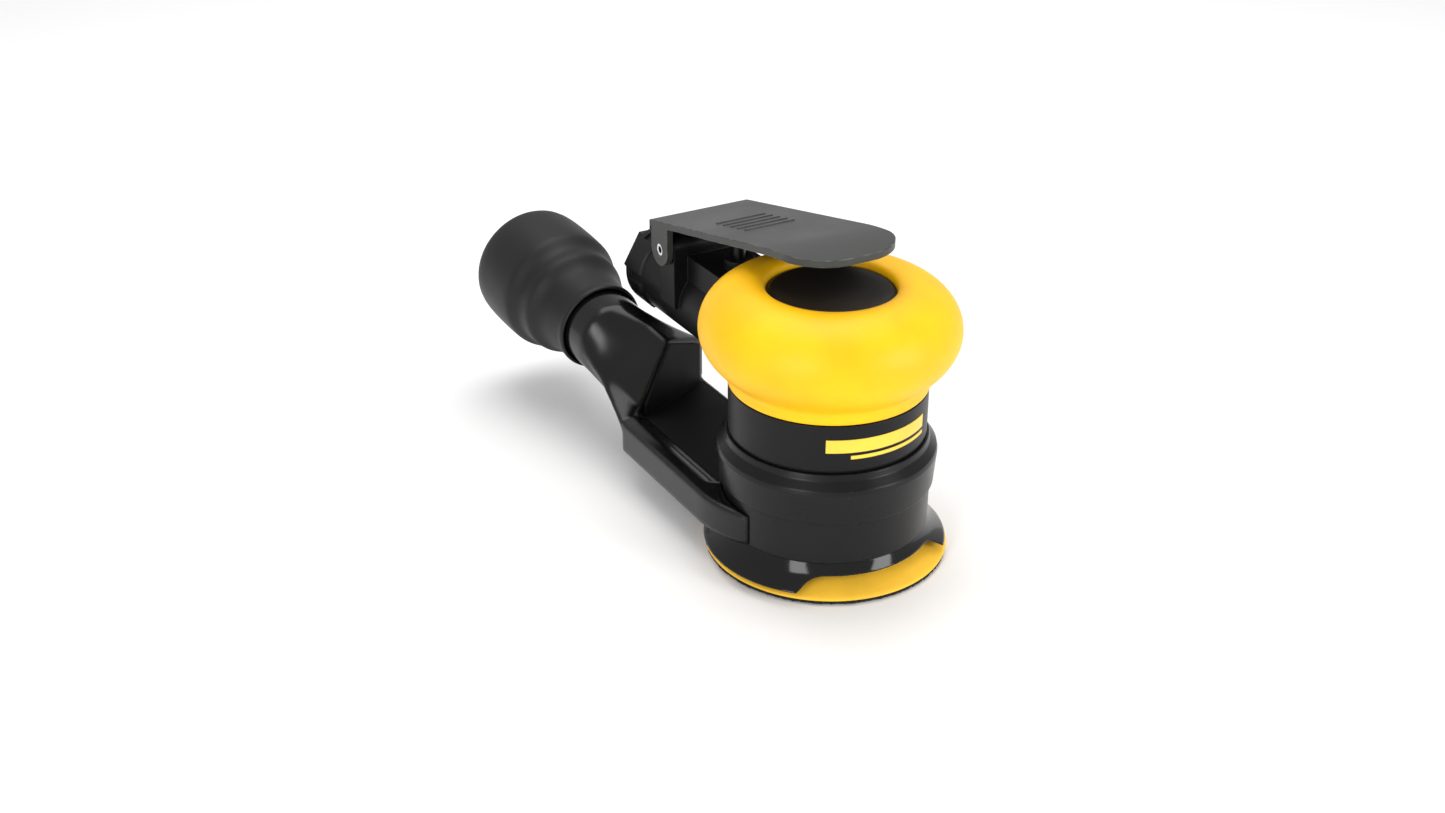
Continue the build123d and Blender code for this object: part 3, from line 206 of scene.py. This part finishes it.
# ------------------------------------------------------------------ housing and its bands
# One black glass-filled nylon moulding with a fine spark texture: crown, inlet neck and hinge
# lug. Below it sit the clamp collar and the shroud, in the same nylon with a closer polish.
NYLON = (0.0048, 0.0048, 0.0054)
NYLON_RUBBED = (0.02, 0.02, 0.021)
black_nylon = finish_material(
    "black_nylon", NYLON, NYLON_RUBBED, 0.4, 2200, 0.000022, 0.0005, Specular_IOR_Level=0.2
)
smooth_nylon = finish_material(
    "smooth_nylon", NYLON, NYLON_RUBBED, 0.3, 2600, 0.000010, 0.0006, Specular_IOR_Level=0.24
)
dress(black_nylon, "housing", "muffler_cap", "speed_ring")
dress(smooth_nylon, "clamp_collar", "shroud")

# ------------------------------------------------------------------ inlet, valve and muffler
# Turned brass and steel valve pieces inside the neck, a blackened hexagon bushing at its
# end for the air fitting, and a sintered insert behind the muffler cap.
brass = finish_material(
    "valve_brass", (0.62, 0.42, 0.14), (0.75, 0.56, 0.24), 0.28, 2600, 0.000005, Metallic=1.0
)
sinter = finish_material("sintered_bead", (0.5, 0.49, 0.44), (0.6, 0.59, 0.55), 0.9, 1400, 0.0002)
black_oxide = finish_material(
    "black_oxide", (0.02, 0.02, 0.021), (0.12, 0.12, 0.12), 0.35, 2600, 0.000005, Metallic=0.9
)
dress(brass, "valve_seat", "tip_valve")
dress(black_oxide, "inlet_bushing", "valve_stem")
dress(turned_steel, "air_screen", "valve_spring")
dress(sinter, "muffler_insert")

# ------------------------------------------------------------------ skirt
# A flexible glossy black skirt, moulded in one piece and pushed up into the shroud; its
# front is cut away so that the pad's edge can be seen at work.
gloss_black = finish_material(
    "gloss_black", (0.004, 0.004, 0.0045), (0.02, 0.02, 0.021), 0.1, 900, 0.000006, 0.0006, 0.05,
    Specular_IOR_Level=0.34,
)
dress(gloss_black, "skirt")

# ------------------------------------------------------------------ vacuum duct
# A black moulding that leads the dust from the shroud along an arm and up into a round
# tube. Its corners are generously rounded, as the tool that moulds it is.
DUCT_VOXEL = 0.0006
DUCT_SMOOTHING = 8

duct_node = frame["nodes"]["vacuum_duct"]
duct_shell = duct_node.copy()
duct_shell.data = duct_node.data.copy()
duct_shell.name = "duct_shell"
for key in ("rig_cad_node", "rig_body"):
    del duct_shell[key]
bpy.context.scene.collection.objects.link(duct_shell)
bpy.ops.object.select_all(action="DESELECT")
duct_shell.select_set(True)
bpy.context.view_layer.objects.active = duct_shell
bpy.ops.mesh.customdata_custom_splitnormals_clear()
bpy.ops.object.mode_set(mode="EDIT")
bpy.ops.mesh.select_all(action="SELECT")
bpy.ops.mesh.remove_doubles(threshold=0.00001)
bpy.ops.object.mode_set(mode="OBJECT")
even = duct_shell.modifiers.new("even", "REMESH")
even.mode = "VOXEL"
even.voxel_size = DUCT_VOXEL
bpy.ops.object.modifier_apply(modifier="even")
soft = duct_shell.modifiers.new("soft", "SMOOTH")
soft.factor = 0.5
soft.iterations = DUCT_SMOOTHING
bpy.ops.object.modifier_apply(modifier="soft")
bpy.ops.object.shade_smooth()
duct_plastic = finish_material(
    "duct_plastic", (0.0042, 0.0042, 0.0048), (0.02, 0.02, 0.021), 0.19, 1500, 0.000010, 0.0022, 0.1,
    Specular_IOR_Level=0.34,
)
duct_shell.data.materials.clear()
duct_shell.data.materials.append(duct_plastic)
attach(duct_shell, "casing")
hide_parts("vacuum_duct")

# ------------------------------------------------------------------ duct lid
# A matt black panel let into the duct's arm, which closes the channel that the dust
# runs along. Its finish is duller than the duct's own, and its colour is darker than
# the other blacks: painted shade for the deep shadow that falls in this recess.
lid_painted_shade = finish_material(
    "lid_painted_shade", (0.002, 0.002, 0.002), (0.01, 0.01, 0.01), 0.6, 2000, 0.00002, Specular_IOR_Level=0.15
)
# The lid's near-black colour is painted shade for its recess, on top of its own matt black.
dress(lid_painted_shade, "duct_lid")


# ------------------------------------------------------------------ hose cuff
# A matt black rubber sleeve that snaps over the duct's tube and turns on it. It swells in
# two soft steps to the wide mouth that takes the vacuum hose.
def lathe(name, rings, segments=96, levels=2):
    """A closed turned shell about Z: a circle extruded through (radius, height) rings, then smoothed."""
    bpy.ops.object.select_all(action="DESELECT")
    radius, height = rings[0]
    bpy.ops.mesh.primitive_circle_add(vertices=segments, radius=radius, location=(0, 0, height))
    piece = bpy.context.object
    piece.name = name
    bpy.ops.object.transform_apply(location=True)
    bpy.ops.object.mode_set(mode="EDIT")
    bpy.ops.mesh.select_all(action="SELECT")
    for (r_from, z_from), (r_to, z_to) in zip(rings, [*rings[1:], rings[0]]):
        bpy.ops.mesh.extrude_edges_move(TRANSFORM_OT_translate={"value": (0, 0, z_to - z_from)})
        grow = r_to / r_from
        bpy.ops.transform.resize(value=(grow, grow, 1), center_override=(0, 0, z_to))
    bpy.ops.mesh.select_all(action="SELECT")
    bpy.ops.mesh.remove_doubles(threshold=0.00001)
    bpy.ops.mesh.normals_make_consistent(inside=False)
    bpy.ops.object.mode_set(mode="OBJECT")
    if levels:
        smooth = piece.modifiers.new("smooth", "SUBSURF")
        smooth.levels = smooth.render_levels = levels
        bpy.ops.object.modifier_apply(modifier="smooth")
    bpy.ops.object.shade_smooth()
    return piece


def stand(piece, at, axis=(0, 0, 1)):
    """Carries a piece made about Z to its own axis, and leaves its place in its mesh."""
    piece.location = at
    piece.rotation_euler = Vector(axis).to_track_quat("Z", "Y").to_euler()
    bpy.ops.object.select_all(action="DESELECT")
    piece.select_set(True)
    bpy.context.view_layer.objects.active = piece
    bpy.ops.object.transform_apply(location=True, rotation=True, scale=True)
    return piece


def tight(rings, lip=0.0003):
    """Adds a ring just before and after each ring, which keeps its corner crisp when smoothed."""
    held = []
    for index, (radius, height) in enumerate(rings):
        for other in (rings[index - 1], rings[(index + 1) % len(rings)]):
            away = Vector((other[0] - radius, other[1] - height))
            near = Vector((radius, height)) + away.normalized() * min(lip, away.length / 3)
            held.append(tuple(near))
    return held


CUFF_LENGTH = 0.0555
CUFF_BORE = 0.01403
HOSE_BORE = 0.016
swivel = joints["cuff_swivel"]
cuff = lathe(
    "rubber_cuff",
    [
        *tight([(CUFF_BORE, 0.0), (0.0158, 0.0)], 0.0004),
        (0.0159, 0.0012),
        (0.0157, 0.0026),
        (0.0155, 0.0034),
        (0.0156, 0.0060),
        (0.0159, 0.0110),
        (0.0164, 0.0145),
        (0.0180, 0.0172),
        (0.0192, 0.0188),
        (0.0196, 0.0205),
        (0.0195, 0.0228),
        (0.0197, 0.0252),
        (0.0212, 0.0278),
        (0.0223, 0.0296),
        (0.0225, 0.0320),
        (0.0227, 0.0430),
        *tight([(0.0229, CUFF_LENGTH), (HOSE_BORE + 0.0022, CUFF_LENGTH)], 0.0006),
        (HOSE_BORE, CUFF_LENGTH - 0.0025),
        (HOSE_BORE, 0.0300),
        *tight([(HOSE_BORE, 0.0175), (CUFF_BORE, 0.0155)], 0.0004),
        (CUFF_BORE, 0.0080),
    ],
    segments=80,
)
stand(cuff, swivel["pos_m"], swivel["axis"])
cuff_rubber = finish_material(
    "cuff_rubber", (0.0075, 0.0075, 0.008), (0.02, 0.02, 0.021), 0.5, 1500, 0.00003, 0.0004, 0.1,
    Specular_IOR_Level=0.3,
)
cuff.data.materials.append(cuff_rubber)
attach(cuff, "hose_cuff")
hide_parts("hose_cuff")

# ------------------------------------------------------------------ pad
# Yellow polyurethane foam moulded on a fibre plate that screws into the spindle, thinning
# to a flexible rim, with a black hook layer laminated underneath.
PAD_R = 0.0385
HOOK_THICK = 0.0012
FOAM_TOP = 0.008
PAD_BORE = 0.004
RAGGED_RIM = 0.001
HOLE_COUNT = 6
HOLE_R = 0.0032
HOLE_RING_R = 0.024
HOLE_DEPTH = 0.04
pad_axis = Vector(joints["pad_spin"]["pos_m"])
pad_axis.z = 0

foam = lathe(
    "moulded_foam",
    [
        *tight([(PAD_BORE, HOOK_THICK), (PAD_R - 0.0001, HOOK_THICK)], 0.0002),
        (PAD_R, HOOK_THICK + 0.0007),
        (PAD_R - 0.0003, HOOK_THICK + 0.0014),
        (0.0362, 0.0033),
        (0.0330, 0.0046),
        (0.0300, 0.0058),
        (0.0275, 0.0069),
        (0.0255, 0.0076),
        (0.0235, FOAM_TOP - 0.0001),
        *tight([(0.0190, FOAM_TOP), (PAD_BORE, FOAM_TOP)], 0.0003),
    ],
    segments=96,
)


def dust_holes(piece):
    """Cuts the ring of dust holes through a pad layer."""
    bpy.ops.object.select_all(action="DESELECT")
    cutters = []
    for turn in range(HOLE_COUNT):
        angle = turn * math.tau / HOLE_COUNT
        spot = (HOLE_RING_R * math.cos(angle), HOLE_RING_R * math.sin(angle), HOLE_DEPTH / 4)
        bpy.ops.mesh.primitive_cylinder_add(vertices=32, radius=HOLE_R, depth=HOLE_DEPTH, location=spot)
        cutters.append(bpy.context.object)
    for cutter in cutters:
        cutter.select_set(True)
    bpy.ops.object.join()
    cutter = bpy.context.object
    bpy.ops.object.select_all(action="DESELECT")
    bpy.context.view_layer.objects.active = piece
    holes = piece.modifiers.new("holes", "BOOLEAN")
    holes.object = cutter
    holes.solver = "EXACT"
    bpy.ops.object.modifier_apply(modifier="holes")
    bpy.data.objects.remove(cutter)


dust_holes(foam)
stand(foam, pad_axis)
foam_yellow = finish_material(
    "foam_yellow", (0.98, 0.56, 0.04), (0.98, 0.7, 0.16), 0.6, 1300, 0.00005, 0.0003, 0.12,
    Specular_IOR_Level=0.3,
)
foam.data.materials.append(foam_yellow)
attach(foam, "pad")
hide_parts("pad_foam")

hook_face = lathe(
    "hook_layer",
    [
        *tight([(PAD_BORE, 0.00005), (PAD_R - 0.0002, 0.00005)], 0.0001),
        (PAD_R - 0.0001, HOOK_THICK / 2),
        *tight([(PAD_R - 0.0002, HOOK_THICK), (PAD_BORE, HOOK_THICK)], 0.0001),
    ],
    segments=240,
    levels=1,
)
random.seed(7)
for vertex in hook_face.data.vertices:
    reach = math.hypot(vertex.co.x, vertex.co.y)
    if reach > PAD_R - RAGGED_RIM:
        ragged = 1 - random.random() * 0.012
        vertex.co.x *= ragged
        vertex.co.y *= ragged
dust_holes(hook_face)
stand(hook_face, pad_axis)
hook_fabric = finish_material(
    "hook_fabric", (0.012, 0.012, 0.013), (0.05, 0.05, 0.05), 0.85, 900, 0.0006, 0.0002, 0.1
)
hook_face.data.materials.append(hook_fabric)
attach(hook_face, "pad")
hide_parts("pad_hook_face")
dress(vane_board, "pad_plate")

# ------------------------------------------------------------------ grip ring
# A soft yellow thermoplastic rubber cover, moulded as a fat ring and stretched over the
# housing's crown. Its waist folds in above the lower hem, and the palm rests on its top.
grip = lathe(
    "soft_grip",
    [
        *tight([(0.0291, 0.0585), (0.0308, 0.0585)], 0.0002),
        (0.0312, 0.0600),
        (0.0310, 0.0618),
        (0.0316, 0.0634),
        (0.0337, 0.0650),
        (0.0368, 0.0680),
        (0.0393, 0.0725),
        (0.0400, 0.0770),
        (0.0388, 0.0822),
        (0.0352, 0.0868),
        (0.0300, 0.0900),
        (0.0248, 0.0912),
        (0.0214, 0.0908),
        (0.0199, 0.0899),
        (0.0196, 0.0885),
        *tight([(0.0196, 0.0841), (0.0276, 0.0773), (0.0276, 0.0606)], 0.0004),
    ],
    segments=96,
)
bpy.ops.object.select_all(action="DESELECT")
# The inlet neck, the hinge block on it and the muffler come out through the ring's rear.
WAY_CLEAR = 0.0004
ROUND_WAY_DEPTH = 0.06
ROUND_WAYS = (  # x, z, radius, facets
    (0, 0.058, 0.014, 96),
    (0.0236, 0.0525, 0.009, 64),
)
FLAT_WAY_DEPTH = 0.05
FLAT_WAYS = (  # z, half width, height
    (0.0672, 0.0105, 0.0184),
    (0.0577, 0.014, 0.0026),
)
cutters = []
for x, z, radius, facets in ROUND_WAYS:
    bpy.ops.mesh.primitive_cylinder_add(
        vertices=facets,
        radius=radius + WAY_CLEAR,
        depth=ROUND_WAY_DEPTH,
        location=(x, 0.03, z),
        rotation=(math.pi / 2, 0, 0),
    )
    cutters.append(bpy.context.object)
for z, half, height in FLAT_WAYS:
    bpy.ops.mesh.primitive_cube_add(size=1, location=(0, 0.035, z))
    bpy.context.object.scale = (2 * (half + WAY_CLEAR), FLAT_WAY_DEPTH, height)
    cutters.append(bpy.context.object)
for index, cutter in enumerate(cutters):
    way = grip.modifiers.new(f"way_{index}", "BOOLEAN")
    way.object = cutter
    way.solver = "EXACT"
    bpy.ops.object.select_all(action="DESELECT")
    bpy.context.view_layer.objects.active = grip
    bpy.ops.object.modifier_apply(modifier=way.name)
    bpy.data.objects.remove(cutter)
bpy.ops.object.select_all(action="DESELECT")
grip.select_set(True)
bpy.ops.object.shade_smooth_by_angle(angle=math.radians(40))
grip_rubber = finish_material(
    "grip_rubber",
    (0.98, 0.52, 0.0025),
    (0.98, 0.6, 0.02),
    0.46,
    1100,
    0.000025,
    0.0004,
    0.1,
    Subsurface_Weight=0.1,
    Subsurface_Scale=0.002,
    Specular_IOR_Level=0.3,
)
grip.data.materials.append(grip_rubber)
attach(grip, "casing")
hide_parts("grip")

# ------------------------------------------------------------------ throttle lever
# A pressed steel plate with two ears, powder coated dark grey, hinged on a hollow spring
# pin. Low raised bars in its middle stop the palm from slipping.
lever_paint = finish_material(
    "lever_paint", (0.036, 0.039, 0.036), (0.2, 0.2, 0.2), 0.4, 1700, 0.00003, 0.0005, 0.1,
    Specular_IOR_Level=0.35,
)
dress(lever_paint, "lever")
LEVER_SLOPE = math.radians(12.3)
LEVER_RISE = 0.0097
BAR_COUNT = 5
BAR_FIRST = 0.024
BAR_PITCH = 0.0045
BAR_SIZE = (0.018, 0.0013, 0.0007)
hinge = Vector(joints["lever_press"]["pos_m"])
ahead = Vector((0, -math.cos(LEVER_SLOPE), math.sin(LEVER_SLOPE)))
square = Vector((0, math.sin(LEVER_SLOPE), math.cos(LEVER_SLOPE)))
bpy.ops.object.select_all(action="DESELECT")
bars = []
for index in range(BAR_COUNT):
    spot = hinge + square * LEVER_RISE + ahead * (BAR_FIRST + index * BAR_PITCH)
    bpy.ops.mesh.primitive_cube_add(size=1, location=spot, rotation=(-LEVER_SLOPE, 0, 0))
    bpy.context.object.scale = BAR_SIZE
    bars.append(bpy.context.object)
for bar in bars:
    bar.select_set(True)
bpy.ops.object.join()
thumb_bars = bpy.context.object
thumb_bars.name = "thumb_bars"
bpy.ops.object.transform_apply(location=True, rotation=True, scale=True)
softened = thumb_bars.modifiers.new("softened", "BEVEL")
softened.width = 0.00028
softened.segments = 3
bpy.ops.object.modifier_apply(modifier="softened")
bpy.ops.object.shade_smooth_by_angle(angle=math.radians(40))
thumb_bars.data.materials.append(lever_paint)
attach(thumb_bars, "lever")
pin_chrome = finish_material(
    "pin_chrome", (0.72, 0.72, 0.74), (0.8, 0.8, 0.8), 0.12, 3000, 0.000002, Metallic=1.0
)
dress(pin_chrome, "lever_pin")

# ------------------------------------------------------------------ front mark
# Two plain bars of yellow foil on the housing's front.
foil = finish_material("yellow_foil", (0.88, 0.60, 0.05), (0.6, 0.45, 0.1), 0.3, 1500, 0.00001)
dress(foil, "decal")

# ------------------------------------------------------------------ studio
# A pale seamless floor, one broad soft light from each side of the camera and one above.
bpy.ops.object.select_all(action="DESELECT")
bpy.ops.mesh.primitive_plane_add(size=8, location=(0, 0, -0.0002))
floor = bpy.context.object
floor.name = "studio_floor"
paper = bpy.data.materials.new("studio_paper")
paper.use_nodes = True
paper_shader = paper.node_tree.nodes["Principled BSDF"]
paper_shader.inputs["Base Color"].default_value = (0.93, 0.93, 0.93, 1)
paper_shader.inputs["Roughness"].default_value = 0.9
floor.data.materials.append(paper)

world = bpy.data.worlds.new("studio_air")
world.use_nodes = True
air = world.node_tree.nodes["Background"]
air.inputs["Color"].default_value = (1, 1, 1, 1)
air.inputs["Strength"].default_value = 0.62
bpy.context.scene.world = world

BODY_CENTRE = Vector((0, 0.04, 0.05))
lights = {
    "left_softbox": ((-0.85, -0.5, 0.4), (0.3, 0.7), 4.6),
    "right_softbox": ((0.5, -0.85, 0.36), (0.35, 0.6), 5.0),
    "top_softbox": ((0.1, 0.3, 1.1), (0.9, 0.9), 7.5),
}
for name, (at, size, power) in lights.items():
    lamp = bpy.data.lights.new(name, "AREA")
    lamp.shape = "RECTANGLE"
    lamp.size, lamp.size_y = size
    lamp.energy = power
    holder = bpy.data.objects.new(name, lamp)
    holder.location = at
    holder.rotation_euler = (BODY_CENTRE - Vector(at)).to_track_quat("-Z", "Y").to_euler()
    bpy.context.scene.collection.objects.link(holder)

lens = bpy.data.cameras.new("catalogue_camera")
lens.lens = 43.3
lens.sensor_width = 36
camera = bpy.data.objects.new("catalogue_camera", lens)
camera.location = (-0.26258, -0.39374, 0.29538)
camera.rotation_euler = (math.radians(62.46), 0, math.radians(-29.8))
bpy.context.scene.collection.objects.link(camera)
bpy.context.scene.camera = camera
bpy.context.scene.view_settings.view_transform = "Standard"
